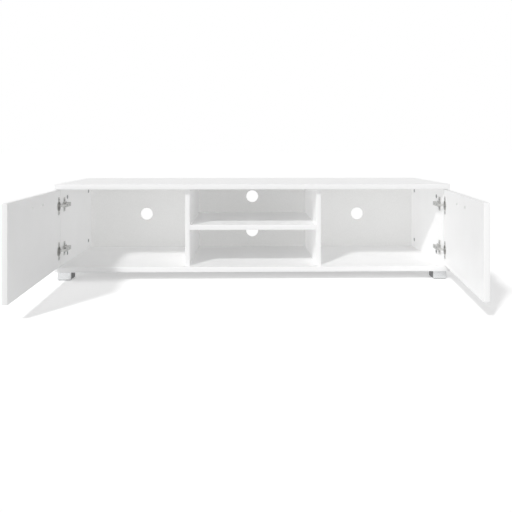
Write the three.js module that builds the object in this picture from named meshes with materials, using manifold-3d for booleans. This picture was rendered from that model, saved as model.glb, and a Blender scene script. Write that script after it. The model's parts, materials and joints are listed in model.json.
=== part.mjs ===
// A low television stand: a doored bay at each end, two open compartments between them,
// and four block feet. Millimetres, +Z up, the front faces -Y. The doors stand open.
import * as THREE from "three";
import { mergeVertices } from "three/addons/utils/BufferGeometryUtils.js";
import Module from "manifold-3d";

const wasm = await Module();
wasm.setup();

// Carcass boards
const WIDTH = 1400; // length of the top and bottom boards
const DEPTH = 400; // front edge to back edge of the top and bottom boards
const TOP_THICKNESS = 18;
const BOTTOM_THICKNESS = 18;
const SHELF_THICKNESS = 18;
const UPRIGHT_THICKNESS = 16; // side panels and dividers
const BAY_HEIGHT = 274; // clear height between the bottom and top boards
const CENTRE_BAY_WIDTH = 453; // clear width between the two dividers
const SHELF_RISE = 127.5; // bay floor to the underside of the shelf
const SHELF_END_GAP = 0.5; // shelf end to divider, so that the shelf drops in
const CLEARANCE = 0.3; // running gap wherever one piece is let into another

// Back boards, slid into grooves
const BACK_THICKNESS = 3;
const BACK_INSET = 7; // rear edge of the carcass to the rear face of the back boards
const GROOVE_DEPTH = 5;
const CABLE_HOLE_DIAMETER = 50;
const SIDE_CABLE_HOLE_REACH = 206.5; // divider face to the axis of a side bay's cable hole
const SIDE_CABLE_HOLE_HEIGHT = 140; // bay floor to the same axis
const CENTRE_CABLE_HOLE_DROP = 59.5; // board above to the axis of a centre cable hole

// Doors, which close in front of the uprights and between the top and bottom boards
const DOOR_THICKNESS = 16;
const DOOR_STANDOFF = 3.5; // closed door to the front edges of the uprights
const DOOR_REVEAL = 1; // upright face to door edge, at both sides
const DOOR_END_GAP = 2; // above and below each door
const LEFT_DOOR_OPEN = 87; // degrees open as modelled
const RIGHT_DOOR_OPEN = 82;

// Door handles, bows screwed on from inside the door
const HANDLE_CENTRES = 96; // between the two screws
const HANDLE_FROM_TOP = 33; // door's top edge to the screw axes
const HANDLE_BAR = 10; // height of the bow, and depth of its legs
const HANDLE_GRIP = 7; // thickness of the bow in front of the fingers
const HANDLE_REACH = 27; // door face to the front of the bow
const HANDLE_CORNER = 6;
const HANDLE_INNER_CORNER = 4;
const HANDLE_SCREW_DIAMETER = 4;
const HANDLE_SCREW_BITE = 12; // length held in the bow's leg
const HANDLE_SCREW_HEAD = { diameter: 8.4, height: 2.2 };

// Hinge cups, let into the doors
const HINGE_FROM_DOOR_END = 56; // door's top or bottom edge to the hinge's middle
const CUP_DIAMETER = 35;
const CUP_DEPTH = 12; // mouth to the inside of the floor
const CUP_WALL = 1;
const CUP_WEB = 3; // door edge to the cup's bore
const CUP_RIM = 0.8; // width of the lip around the mouth
const FLANGE_THICKNESS = 1.2;
const FLANGE_LENGTH = 64;
const FLANGE_WIDTH = 17;
const FLANGE_CORNER = 7.5;
const FLANGE_SCREW_SPACING = 48;
const FLANGE_SCREW_HOLE = 4.2;

// Hinge pin: the vertical axis that a door turns about, inside its cups
const AXIS_FROM_SIDE = 8.5; // outer face of the side panel to the axis
const AXIS_FROM_FRONT = 7; // front edge of the top board to the axis
const PIN_DIAMETER = 2.4;
const PIN_RUNNING_GAP = 0.08;

// Hinge arm, a pressed channel with a curved neck that ends in a knuckle on the pin
const ARM_STANDOFF = 18; // inner face of the side panel to the arm's outer face
const ARM_SHEET = 1.6;
const ARM_WIDTH = 14;
const ARM_FRONT = 8; // front edge of the side panel back to the channel's front end
const ARM_LENGTH = 50;
const ARM_WALL_DROP = 9; // height of the channel's side walls
const NECK_WIDTH = 8;
const NECK_THICKNESS = 3;
const NECK_LEAD = 13.5; // pull of the bend towards the bay, at the pin
const NECK_BOW = 3; // pull of the bend ahead of the pin
const NECK_SHOULDER = 1; // the same where the neck turns back to the channel
const NECK_STEPS = 14;
const KNUCKLE_DIAMETER = 4.8;

// Hinge mounting plate, a cross screwed to the side panel
const PLATE_THICKNESS = 2;
const PLATE_FRONT = 24; // front edge of the side panel to the plate's front end
const PLATE_LENGTH = 38;
const PLATE_WIDTH = 18;
const WING_SPAN = 50;
const WING_WIDTH = 14;
const WING_FROM_PLATE_FRONT = 6;
const WING_SCREW_SPACING = 32;
const WING_SCREW_HOLE = 4.2;

// Cam locks that pull the side panels to the top and bottom boards
const CAM_DIAMETER = 15;
const CAM_DEPTH = 12.5;
const CAM_FROM_BOARD_END = 34; // end of the side panel to the cam's axis
const CAM_FROM_FRONT = 72;
const CAM_FROM_BACK = 48;
const CAM_SLOT_WIDTH = 1.6;
const CAM_SLOT_LENGTH = 9;
const CAM_SLOT_DEPTH = 2;

// Pins under the shelf
const SHELF_PIN_DIAMETER = 5;
const SHELF_PIN_BORE = 9;
const SHELF_PIN_REACH = 8;
const SHELF_PIN_FROM_EDGE = 50;
const SHELF_PIN_GAP = 0.1; // under the shelf that rests on it

// Feet
const FOOT_SIZE = 48;
const FOOT_HEIGHT = 28;
const FOOT_CORNER = 3;
const FOOT_SIDE_INSET = 8;
const FOOT_FRONT_INSET = 10;
const FOOT_BACK_INSET = 10;
const FOOT_LEDGE = 6; // material left above the screw's counterbore
const FOOT_COUNTERBORE = 14;
const GLIDE_HEIGHT = 2;
const GLIDE_INSET = 2;
const FOOT_SCREW_DIAMETER = 4.5;
const FOOT_SCREW_BITE = 14; // length held in the bottom board
const FOOT_SCREW_HEAD = { diameter: 10, height: 3 };

// Worked out from the sizes above
const FLOOR = GLIDE_HEIGHT + FOOT_HEIGHT + BOTTOM_THICKNESS; // inside faces of the bays
const CEILING = FLOOR + BAY_HEIGHT;
const UPRIGHT_FRONT = DOOR_THICKNESS + DOOR_STANDOFF;
const BACK_FACE = DEPTH - BACK_INSET - BACK_THICKNESS; // front face of the back boards
const SIDE_INNER = WIDTH / 2 - UPRIGHT_THICKNESS;
const DIVIDER_INNER = CENTRE_BAY_WIDTH / 2;
const DIVIDER_OUTER = DIVIDER_INNER + UPRIGHT_THICKNESS;
const SHELF_BOTTOM = FLOOR + SHELF_RISE;
const SHELF_TOP = SHELF_BOTTOM + SHELF_THICKNESS;
const DOOR_BOTTOM = FLOOR + DOOR_END_GAP;
const DOOR_TOP = CEILING - DOOR_END_GAP;
const DOOR_WIDTH = WIDTH / 2 - DIVIDER_INNER - 2 * DOOR_REVEAL;
const CUP_RADIUS = CUP_DIAMETER / 2;
const CUP_INNER_RADIUS = CUP_RADIUS - CUP_WALL;
const CUP_FROM_SIDE = DOOR_REVEAL + CUP_WEB + CUP_RADIUS;
const HINGE_HEIGHTS = {
  upper: DOOR_TOP - HINGE_FROM_DOOR_END,
  lower: DOOR_BOTTOM + HINGE_FROM_DOOR_END,
};
const CAM_DEPTHS = {
  front: UPRIGHT_FRONT + CAM_FROM_FRONT,
  rear: DEPTH - CAM_FROM_BACK,
};
const CAM_HEIGHTS = {
  upper: CEILING - CAM_FROM_BOARD_END,
  lower: FLOOR + CAM_FROM_BOARD_END,
};
const SHELF_PIN_DEPTHS = {
  front: UPRIGHT_FRONT + SHELF_PIN_FROM_EDGE,
  rear: BACK_FACE - SHELF_PIN_FROM_EDGE,
};
const SHELF_PIN_HEIGHT = SHELF_BOTTOM - SHELF_PIN_DIAMETER / 2;
const FOOT_DEPTHS = {
  front: FOOT_FRONT_INSET + FOOT_SIZE / 2,
  rear: DEPTH - FOOT_BACK_INSET - FOOT_SIZE / 2,
};

const FINISHES = {
  board: { color: "#f4f4f3", roughness: 0.25, metalness: 0 },
  back: { color: "#ececea", roughness: 0.5, metalness: 0 },
  foot: { color: "#c9cacb", roughness: 0.3, metalness: 1 },
  glide: { color: "#2b2b2b", roughness: 0.9, metalness: 0 },
  hinge: { color: "#a5a6a6", roughness: 0.35, metalness: 1 },
  fastener: { color: "#8f8f8d", roughness: 0.45, metalness: 1 },
  handle: { color: "#c9cacb", roughness: 0.2, metalness: 1 },
};

/** The closed surface of a geometry as a solid that can be cut and joined. */
function toSolid(geometry) {
  const bare = geometry.clone();
  bare.deleteAttribute("normal");
  bare.deleteAttribute("uv");
  const merged = mergeVertices(bare, 1e-4);
  const vertProperties = merged.attributes.position.array;
  const triVerts = new Uint32Array(merged.index.array);
  return new wasm.Manifold(new wasm.Mesh({ numProp: 3, vertProperties, triVerts }));
}

/** A solid as a geometry with flat faces. */
function toGeometry(solid) {
  const { vertProperties, triVerts } = solid.getMesh();
  const indexed = new THREE.BufferGeometry();
  indexed.setAttribute("position", new THREE.BufferAttribute(new Float32Array(vertProperties), 3));
  indexed.setIndex(new THREE.BufferAttribute(new Uint32Array(triVerts), 1));
  const geometry = indexed.toNonIndexed();
  geometry.computeVertexNormals();
  return geometry;
}

/** The base geometry with each tool's space taken out of it. */
function cut(base, tools) {
  const solid = tools.reduce((left, tool) => left.subtract(toSolid(tool)), toSolid(base));
  return toGeometry(solid);
}

/** The pieces as one body. */
function join(pieces) {
  const solid = pieces.map(toSolid).reduce((sum, piece) => sum.add(piece));
  return toGeometry(solid);
}

/** A box from its low and high limit along each axis. */
function block([x0, x1], [y0, y1], [z0, z1]) {
  const box = new THREE.BoxGeometry(x1 - x0, y1 - y0, z1 - z0);
  return box.translate((x0 + x1) / 2, (y0 + y1) / 2, (z0 + z1) / 2);
}

/** A round rod of the given radius from one point to another. */
function rod(radius, from, to, segments = 16) {
  const start = new THREE.Vector3(...from);
  const span = new THREE.Vector3(...to).sub(start);
  const cylinder = new THREE.CylinderGeometry(radius, radius, span.length(), segments);
  const up = new THREE.Vector3(0, 1, 0);
  const turn = new THREE.Quaternion().setFromUnitVectors(up, span.clone().normalize());
  const middle = start.addScaledVector(span, 0.5);
  return cylinder.applyQuaternion(turn).translate(middle.x, middle.y, middle.z);
}

/** A rectangle centred on the origin with round corners. */
function roundedRectangle(width, height, corner) {
  const shape = new THREE.Shape();
  const x = width / 2 - corner;
  const y = height / 2 - corner;
  shape.absarc(x, y, corner, 0, Math.PI / 2);
  shape.absarc(-x, y, corner, Math.PI / 2, Math.PI);
  shape.absarc(-x, -y, corner, Math.PI, 1.5 * Math.PI);
  shape.absarc(x, -y, corner, 1.5 * Math.PI, 2 * Math.PI);
  return shape;
}

/** A flat shape raised along +Z from z0 to z1. */
function raise(shape, [z0, z1], curveSegments = 4) {
  const settings = { depth: z1 - z0, bevelEnabled: false, curveSegments };
  return new THREE.ExtrudeGeometry(shape, settings).translate(0, 0, z0);
}

/** A screw along +Y: its head below y = 0 and its shank from there to `length`. */
function screw(headSize, shankDiameter, length) {
  const head = headSize.diameter / 2;
  const shank = shankDiameter / 2;
  const chamfer = headSize.height / 2;
  const profile = [
    [0, -headSize.height],
    [head - chamfer, -headSize.height],
    [head, -chamfer],
    [head, 0],
    [shank, 0],
    [shank, length - shank],
    [0, length],
  ];
  return new THREE.LatheGeometry(profile.map(([r, y]) => new THREE.Vector2(r, y)), 12);
}

/** A named mesh in one of the finishes. */
function piece(name, geometry, finish) {
  const mesh = new THREE.Mesh(geometry, new THREE.MeshStandardMaterial(FINISHES[finish]));
  mesh.name = name;
  return mesh;
}

/** The groove's box for the back board of the bay between x0 and x1. */
function backGroove([x0, x1]) {
  return block(
    [x0 - GROOVE_DEPTH, x1 + GROOVE_DEPTH],
    [BACK_FACE - CLEARANCE, BACK_FACE + BACK_THICKNESS + CLEARANCE],
    [FLOOR - GROOVE_DEPTH, CEILING + GROOVE_DEPTH],
  );
}

const BAYS = {
  left: [-SIDE_INNER, -DIVIDER_OUTER],
  centre: [-DIVIDER_INNER, DIVIDER_INNER],
  right: [DIVIDER_OUTER, SIDE_INNER],
};
const BACK_GROOVES = Object.values(BAYS).map(backGroove);

/** The centre of each foot: its x, y and name. */
function footPlaces() {
  const x = WIDTH / 2 - FOOT_SIDE_INSET - FOOT_SIZE / 2;
  return Object.entries(FOOT_DEPTHS).flatMap(([row, y]) => [
    { name: `${row}_left`, x: -x, y },
    { name: `${row}_right`, x, y },
  ]);
}

function topPanel() {
  const board = block([-WIDTH / 2, WIDTH / 2], [0, DEPTH], [CEILING, CEILING + TOP_THICKNESS]);
  return piece("top_panel", cut(board, BACK_GROOVES), "board");
}

function bottomPanel() {
  const underside = FLOOR - BOTTOM_THICKNESS;
  const board = block([-WIDTH / 2, WIDTH / 2], [0, DEPTH], [underside, FLOOR]);
  const pilots = footPlaces().map(({ x, y }) => {
    const radius = FOOT_SCREW_DIAMETER / 2 + CLEARANCE;
    const end = underside + FOOT_SCREW_BITE + CLEARANCE;
    return rod(radius, [x, y, underside - 1], [x, y, end]);
  });
  return piece("bottom_panel", cut(board, [...BACK_GROOVES, ...pilots]), "board");
}

/** The four cam places of a side panel: height, depth and name. */
function camPlaces() {
  return Object.entries(CAM_HEIGHTS).flatMap(([level, z]) =>
    Object.entries(CAM_DEPTHS).map(([row, y]) => ({ name: `${level}_${row}`, y, z })),
  );
}

/** A side panel: side is -1 on the left and 1 on the right. */
function sidePanel(name, side) {
  const faces = [side * SIDE_INNER, (side * WIDTH) / 2].sort((a, b) => a - b);
  const board = block(faces, [UPRIGHT_FRONT, DEPTH], [FLOOR, CEILING]);
  const bores = camPlaces().map(({ y, z }) => {
    const depth = CAM_DEPTH + CLEARANCE;
    return rod(
      CAM_DIAMETER / 2 + CLEARANCE,
      [side * (SIDE_INNER - 1), y, z],
      [side * (SIDE_INNER + depth), y, z],
      24,
    );
  });
  return piece(name, cut(board, [...BACK_GROOVES, ...bores]), "board");
}

/** A divider, with blind bores for the shelf's pins in its inner face. */
function divider(name, side) {
  const faces = [side * DIVIDER_INNER, side * DIVIDER_OUTER].sort((a, b) => a - b);
  const board = block(faces, [UPRIGHT_FRONT, DEPTH], [FLOOR, CEILING]);
  const bores = Object.values(SHELF_PIN_DEPTHS).map((y) =>
    rod(
      SHELF_PIN_DIAMETER / 2 + CLEARANCE,
      [side * (DIVIDER_INNER - 1), y, SHELF_PIN_HEIGHT],
      [side * (DIVIDER_INNER + SHELF_PIN_BORE), y, SHELF_PIN_HEIGHT],
    ),
  );
  return piece(name, cut(board, [...BACK_GROOVES, ...bores]), "board");
}

/** The shelf, resting on its pins and stopping short of the back board. */
function centreShelf() {
  const half = DIVIDER_INNER - SHELF_END_GAP;
  const board = block(
    [-half, half],
    [UPRIGHT_FRONT, BACK_FACE - CLEARANCE],
    [SHELF_BOTTOM, SHELF_TOP],
  );
  return piece("centre_shelf", board, "board");
}

/** A shelf pin along X, half in the divider and half under the shelf. */
function shelfPin(name, side, y) {
  const height = SHELF_PIN_HEIGHT - SHELF_PIN_GAP;
  const inBore = [side * (DIVIDER_INNER + SHELF_PIN_BORE - CLEARANCE), y, height];
  const underShelf = [side * (DIVIDER_INNER - SHELF_PIN_REACH), y, height];
  return piece(name, rod(SHELF_PIN_DIAMETER / 2, inBore, underShelf), "fastener");
}

function shelfPins() {
  return Object.entries(SHELF_PIN_DEPTHS).flatMap(([row, y]) => [
    shelfPin(`shelf_pin_${row}_left`, -1, y),
    shelfPin(`shelf_pin_${row}_right`, 1, y),
  ]);
}

/** The back board of one bay, with a round cable hole at each of the given places. */
function backPanel(name, [x0, x1], holes) {
  const reach = GROOVE_DEPTH - CLEARANCE;
  const faces = [BACK_FACE, BACK_FACE + BACK_THICKNESS];
  const board = block([x0 - reach, x1 + reach], faces, [FLOOR - reach, CEILING + reach]);
  const cutters = holes.map(([x, z]) =>
    rod(CABLE_HOLE_DIAMETER / 2, [x, BACK_FACE - 1, z], [x, DEPTH, z], 48),
  );
  return piece(name, cut(board, cutters), "back");
}

/** The three back boards, with one cable hole for each compartment. */
function backPanels() {
  const sideX = DIVIDER_OUTER + SIDE_CABLE_HOLE_REACH;
  const sideZ = FLOOR + SIDE_CABLE_HOLE_HEIGHT;
  const centreHoles = [SHELF_BOTTOM, CEILING].map((z) => [0, z - CENTRE_CABLE_HOLE_DROP]);
  return [
    backPanel("back_panel_left", BAYS.left, [[-sideX, sideZ]]),
    backPanel("back_panel_centre", BAYS.centre, centreHoles),
    backPanel("back_panel_right", BAYS.right, [[sideX, sideZ]]),
  ];
}

/** A foot block with a counterbored screw hole up its middle. */
function foot({ name, x, y }) {
  const top = GLIDE_HEIGHT + FOOT_HEIGHT;
  const outline = roundedRectangle(FOOT_SIZE, FOOT_SIZE, FOOT_CORNER);
  const body = raise(outline, [GLIDE_HEIGHT, top]).translate(x, y, 0);
  const recess = rod(FOOT_COUNTERBORE / 2, [x, y, 0], [x, y, top - FOOT_LEDGE]);
  const hole = rod(FOOT_SCREW_DIAMETER / 2 + CLEARANCE, [x, y, 0], [x, y, top + 1]);
  return piece(`foot_${name}`, cut(body, [recess, hole]), "foot");
}

/** The pad that a foot stands on. */
function glide({ name, x, y }) {
  const size = FOOT_SIZE - 2 * GLIDE_INSET;
  const pad = raise(roundedRectangle(size, size, FOOT_CORNER), [0, GLIDE_HEIGHT]);
  return piece(`glide_${name}`, pad.translate(x, y, 0), "glide");
}

/** The screw that holds a foot to the bottom board. */
function footScrew({ name, x, y }) {
  const seat = GLIDE_HEIGHT + FOOT_HEIGHT - FOOT_LEDGE;
  const length = FOOT_LEDGE + FOOT_SCREW_BITE;
  const body = screw(FOOT_SCREW_HEAD, FOOT_SCREW_DIAMETER, length).rotateX(Math.PI / 2);
  return piece(`foot_screw_${name}`, body.translate(x, y, seat), "fastener");
}

/** A cam lock with a cross slot, seen on the inner face of a side panel. */
function camLock(name, side, { y, z }) {
  const faceX = side * SIDE_INNER;
  const inward = side * (SIDE_INNER + CAM_DEPTH);
  const body = rod(CAM_DIAMETER / 2, [faceX, y, z], [inward, y, z], 24);
  const sink = [faceX - CAM_SLOT_DEPTH, faceX + CAM_SLOT_DEPTH];
  const around = (middle, size) => [middle - size / 2, middle + size / 2];
  const across = block(sink, around(y, CAM_SLOT_LENGTH), around(z, CAM_SLOT_WIDTH));
  const along = block(sink, around(y, CAM_SLOT_WIDTH), around(z, CAM_SLOT_LENGTH));
  return piece(name, cut(body, [across, along]), "fastener");
}

function camLocks(sideName, side) {
  return camPlaces().map((place) => camLock(`cam_lock_${sideName}_${place.name}`, side, place));
}

/*
 * What follows is drawn for the left end: x runs inwards from the outer face of the side
 * panel, and y is the depth from the front edge of the top board. The right end mirrors it.
 */

/** The cross-shaped plate on the side panel, with a rib that the arm clips over. */
function mountingPlate(name, z) {
  const face = UPRIGHT_THICKNESS;
  const front = UPRIGHT_FRONT + PLATE_FRONT;
  const wingFront = front + WING_FROM_PLATE_FRONT;
  const ribWidth = ARM_WIDTH - 2 * (ARM_SHEET + CLEARANCE);
  const ribTop = face + ARM_STANDOFF - ARM_SHEET - CLEARANCE;
  const sheet = [face, face + PLATE_THICKNESS];
  const around = (width) => [z - width / 2, z + width / 2];
  const base = block(sheet, [front, front + PLATE_LENGTH], around(PLATE_WIDTH));
  const wings = block(sheet, [wingFront, wingFront + WING_WIDTH], around(WING_SPAN));
  const rib = block([face, ribTop], [front, front + PLATE_LENGTH], around(ribWidth));
  const screwY = wingFront + WING_WIDTH / 2;
  const holes = [-1, 1].map((end) => {
    const screwZ = z + (end * WING_SCREW_SPACING) / 2;
    return rod(WING_SCREW_HOLE / 2, [0, screwY, screwZ], [ribTop, screwY, screwZ]);
  });
  return piece(name, cut(join([base, wings, rib]), holes), "hinge");
}

/** The outline of the arm's neck: a band that bends from the channel round to the pin. */
function neckOutline() {
  const channelX = UPRIGHT_THICKNESS + ARM_STANDOFF - NECK_THICKNESS / 2;
  const channelY = UPRIGHT_FRONT + ARM_FRONT + ARM_SHEET;
  const bend = new THREE.CubicBezierCurve(
    new THREE.Vector2(AXIS_FROM_SIDE, AXIS_FROM_FRONT),
    new THREE.Vector2(AXIS_FROM_SIDE + NECK_LEAD, AXIS_FROM_FRONT - NECK_BOW),
    new THREE.Vector2(channelX, AXIS_FROM_FRONT - NECK_SHOULDER),
    new THREE.Vector2(channelX, channelY),
  );
  const edge = (offset) =>
    Array.from({ length: NECK_STEPS + 1 }, (_, i) => {
      const along = bend.getTangent(i / NECK_STEPS);
      const normal = new THREE.Vector2(-along.y, along.x);
      return bend.getPoint(i / NECK_STEPS).addScaledVector(normal, offset);
    });
  const half = NECK_THICKNESS / 2;
  return new THREE.Shape([...edge(-half), ...edge(half).reverse()]);
}

/** The arm: a channel over the plate's rib, its neck and the knuckle on the hinge pin. */
function hingeArm(name, z) {
  const outer = UPRIGHT_THICKNESS + ARM_STANDOFF;
  const front = UPRIGHT_FRONT + ARM_FRONT;
  const back = front + ARM_LENGTH;
  const around = (width) => [z - width / 2, z + width / 2];
  const channel = block([outer - ARM_WALL_DROP, outer], [front, back], around(ARM_WIDTH));
  const hollow = block(
    [outer - ARM_WALL_DROP - 1, outer - ARM_SHEET],
    [front + ARM_SHEET, back + 1],
    around(ARM_WIDTH - 2 * ARM_SHEET),
  );
  const neck = raise(neckOutline(), around(NECK_WIDTH));
  const [low, high] = around(NECK_WIDTH);
  const knuckle = rod(
    KNUCKLE_DIAMETER / 2,
    [AXIS_FROM_SIDE, AXIS_FROM_FRONT, low],
    [AXIS_FROM_SIDE, AXIS_FROM_FRONT, high],
    20,
  );
  const bore = rod(
    PIN_DIAMETER / 2 + PIN_RUNNING_GAP,
    [AXIS_FROM_SIDE, AXIS_FROM_FRONT, low - 1],
    [AXIS_FROM_SIDE, AXIS_FROM_FRONT, high + 1],
    20,
  );
  const pressed = cut(channel, [hollow]);
  return piece(name, cut(join([pressed, neck, knuckle]), [bore]), "hinge");
}

/*
 * A door and what it carries are drawn closed, in a frame whose origin is on the hinge axis.
 */
const INNER_FACE = DOOR_THICKNESS - AXIS_FROM_FRONT;
const OUTER_FACE = -AXIS_FROM_FRONT;
const HINGE_EDGE = DOOR_REVEAL - AXIS_FROM_SIDE;
const CUP_X = CUP_FROM_SIDE - AXIS_FROM_SIDE;
const HANDLE_X = HINGE_EDGE + DOOR_WIDTH / 2;
const HANDLE_Z = DOOR_TOP - HANDLE_FROM_TOP;
const HANDLE_SCREW_XS = [HANDLE_X - HANDLE_CENTRES / 2, HANDLE_X + HANDLE_CENTRES / 2];

function doorPanel(name) {
  const board = block(
    [HINGE_EDGE, HINGE_EDGE + DOOR_WIDTH],
    [OUTER_FACE, INNER_FACE],
    [DOOR_BOTTOM, DOOR_TOP],
  );
  const boreFloor = INNER_FACE - CUP_DEPTH - CUP_WALL - CLEARANCE;
  const cupBores = Object.values(HINGE_HEIGHTS).map((z) =>
    rod(CUP_RADIUS + CLEARANCE, [CUP_X, boreFloor, z], [CUP_X, INNER_FACE + 1, z], 32),
  );
  const screwHoles = HANDLE_SCREW_XS.map((x) => {
    const radius = HANDLE_SCREW_DIAMETER / 2 + CLEARANCE;
    return rod(radius, [x, OUTER_FACE - 1, HANDLE_Z], [x, INNER_FACE + 1, HANDLE_Z]);
  });
  return piece(name, cut(board, [...cupBores, ...screwHoles]), "board");
}

/** A hinge cup: a deep round cup with a lip and a long flange with two screw holes. */
function hingeCup(name, z) {
  const seat = INNER_FACE + CLEARANCE;
  const lip = seat + FLANGE_THICKNESS;
  const floor = INNER_FACE - CUP_DEPTH;
  const profile = [
    [0, floor - CUP_WALL],
    [CUP_RADIUS, floor - CUP_WALL],
    [CUP_RADIUS, seat],
    [CUP_RADIUS + CUP_RIM, seat],
    [CUP_RADIUS + CUP_RIM, lip],
    [CUP_INNER_RADIUS, lip],
    [CUP_INNER_RADIUS, floor],
    [0, floor],
  ];
  const cup = new THREE.LatheGeometry(profile.map(([r, y]) => new THREE.Vector2(r, y)), 32);
  cup.translate(CUP_X, 0, z);
  const outline = roundedRectangle(FLANGE_WIDTH, FLANGE_LENGTH, FLANGE_CORNER);
  const flange = raise(outline, [0, FLANGE_THICKNESS]).rotateX(Math.PI / 2);
  flange.translate(CUP_X, lip, z);
  const mouth = rod(CUP_INNER_RADIUS, [CUP_X, floor, z], [CUP_X, lip + 1, z], 32);
  const holes = [-1, 1].map((end) => {
    const holeZ = z + (end * FLANGE_SCREW_SPACING) / 2;
    return rod(FLANGE_SCREW_HOLE / 2, [CUP_X, seat - 1, holeZ], [CUP_X, lip + 1, holeZ]);
  });
  return piece(name, join([cup, cut(flange, [mouth, ...holes])]), "hinge");
}

/** The pin that spans a cup from wall to wall. */
function hingePin(name, z) {
  const farSide = CUP_X + PIN_DIAMETER / 2;
  const reach = Math.sqrt(CUP_INNER_RADIUS ** 2 - farSide ** 2) - CLEARANCE;
  return piece(name, rod(PIN_DIAMETER / 2, [0, 0, z - reach], [0, 0, z + reach], 20), "hinge");
}

/** A bow handle on the outer face: a bar across two legs, cut from one rounded outline. */
function doorHandle(name) {
  const length = HANDLE_CENTRES + HANDLE_BAR;
  const depth = HANDLE_REACH - CLEARANCE;
  const outer = roundedRectangle(length, 2 * depth, HANDLE_CORNER);
  const innerLength = HANDLE_CENTRES - HANDLE_BAR;
  const innerDepth = depth - HANDLE_GRIP;
  const inner = roundedRectangle(innerLength, 2 * innerDepth, HANDLE_INNER_CORNER);
  outer.holes.push(inner);
  const ring = raise(outer, [HANDLE_Z - HANDLE_BAR / 2, HANDLE_Z + HANDLE_BAR / 2]);
  const half = block([-length, length], [0, 2 * depth], [0, 2 * CEILING]);
  const sockets = [-1, 1].map((end) => {
    const x = (end * HANDLE_CENTRES) / 2;
    const radius = HANDLE_SCREW_DIAMETER / 2 + CLEARANCE;
    const bottom = -(HANDLE_SCREW_BITE + CLEARANCE);
    return rod(radius, [x, bottom, HANDLE_Z], [x, 1, HANDLE_Z]);
  });
  const bow = cut(ring, [half, ...sockets]).translate(HANDLE_X, OUTER_FACE - CLEARANCE, 0);
  return piece(name, bow, "handle");
}

/** A screw from the inner face, through the door and into one leg of the handle. */
function handleScrew(name, x) {
  const length = DOOR_THICKNESS + HANDLE_SCREW_BITE;
  const body = screw(HANDLE_SCREW_HEAD, HANDLE_SCREW_DIAMETER, length).rotateZ(Math.PI);
  return piece(name, body.translate(x, INNER_FACE + CLEARANCE, HANDLE_Z), "fastener");
}

/** A door with its cups, pins and handle. */
function doorAssembly(sideName) {
  const door = new THREE.Group();
  door.add(doorPanel(`${sideName}_door`), doorHandle(`${sideName}_door_handle`));
  for (const [level, z] of Object.entries(HINGE_HEIGHTS)) {
    door.add(hingeCup(`${sideName}_${level}_hinge_cup`, z));
    door.add(hingePin(`${sideName}_${level}_hinge_pin`, z));
  }
  HANDLE_SCREW_XS.forEach((x, i) => {
    const place = ["hinge_end", "free_end"][i];
    door.add(handleScrew(`${sideName}_handle_screw_${place}`, x));
  });
  return door;
}

/** One end of the stand: the fixed hinge pieces and the door, swung open by `degrees`. */
function endAssembly(sideName, side, degrees) {
  const end = new THREE.Group();
  end.position.x = (side * WIDTH) / 2;
  end.scale.x = -side;
  for (const [level, z] of Object.entries(HINGE_HEIGHTS)) {
    end.add(mountingPlate(`${sideName}_${level}_hinge_plate`, z));
    end.add(hingeArm(`${sideName}_${level}_hinge_arm`, z));
  }
  const door = doorAssembly(sideName);
  door.position.set(AXIS_FROM_SIDE, AXIS_FROM_FRONT, 0);
  door.rotation.z = -THREE.MathUtils.degToRad(degrees);
  end.add(door);
  return end;
}

/** The whole stand, with its origin under the middle of its box. */
function tvStand() {
  const stand = new THREE.Group();
  stand.add(topPanel(), bottomPanel());
  stand.add(sidePanel("side_panel_left", -1), sidePanel("side_panel_right", 1));
  stand.add(divider("divider_left", -1), divider("divider_right", 1));
  stand.add(centreShelf(), ...shelfPins(), ...backPanels());
  for (const place of footPlaces()) {
    stand.add(foot(place), glide(place), footScrew(place));
  }
  stand.add(...camLocks("left", -1), ...camLocks("right", 1));
  stand.add(endAssembly("left", -1, LEFT_DOOR_OPEN));
  stand.add(endAssembly("right", 1, RIGHT_DOOR_OPEN));
  const box = new THREE.Box3().setFromObject(stand, true);
  const middle = box.getCenter(new THREE.Vector3());
  stand.position.set(-middle.x, -middle.y, 0);
  const part = new THREE.Group();
  part.add(stand);
  return part;
}

export default tvStand();
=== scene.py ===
"""A low white television stand with both doors open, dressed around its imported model.

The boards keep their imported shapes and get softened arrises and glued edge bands. The
hinges, handles and back boards are softened too, and the small hardware that repeats,
such as screws, cams, pins, feet and glides, is made by Geometry Nodes.
"""

import json
import logging
import math
from dataclasses import dataclass, fields
from enum import Enum
from functools import cache
from typing import Any, ClassVar, Iterable, NamedTuple, Sequence

import bmesh
import bpy
from bmesh.types import BMesh
from bpy.types import ID, Material, Mesh, Node, NodeSocket, NodeTree, Object, World
from mathutils import Matrix, Vector

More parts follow.
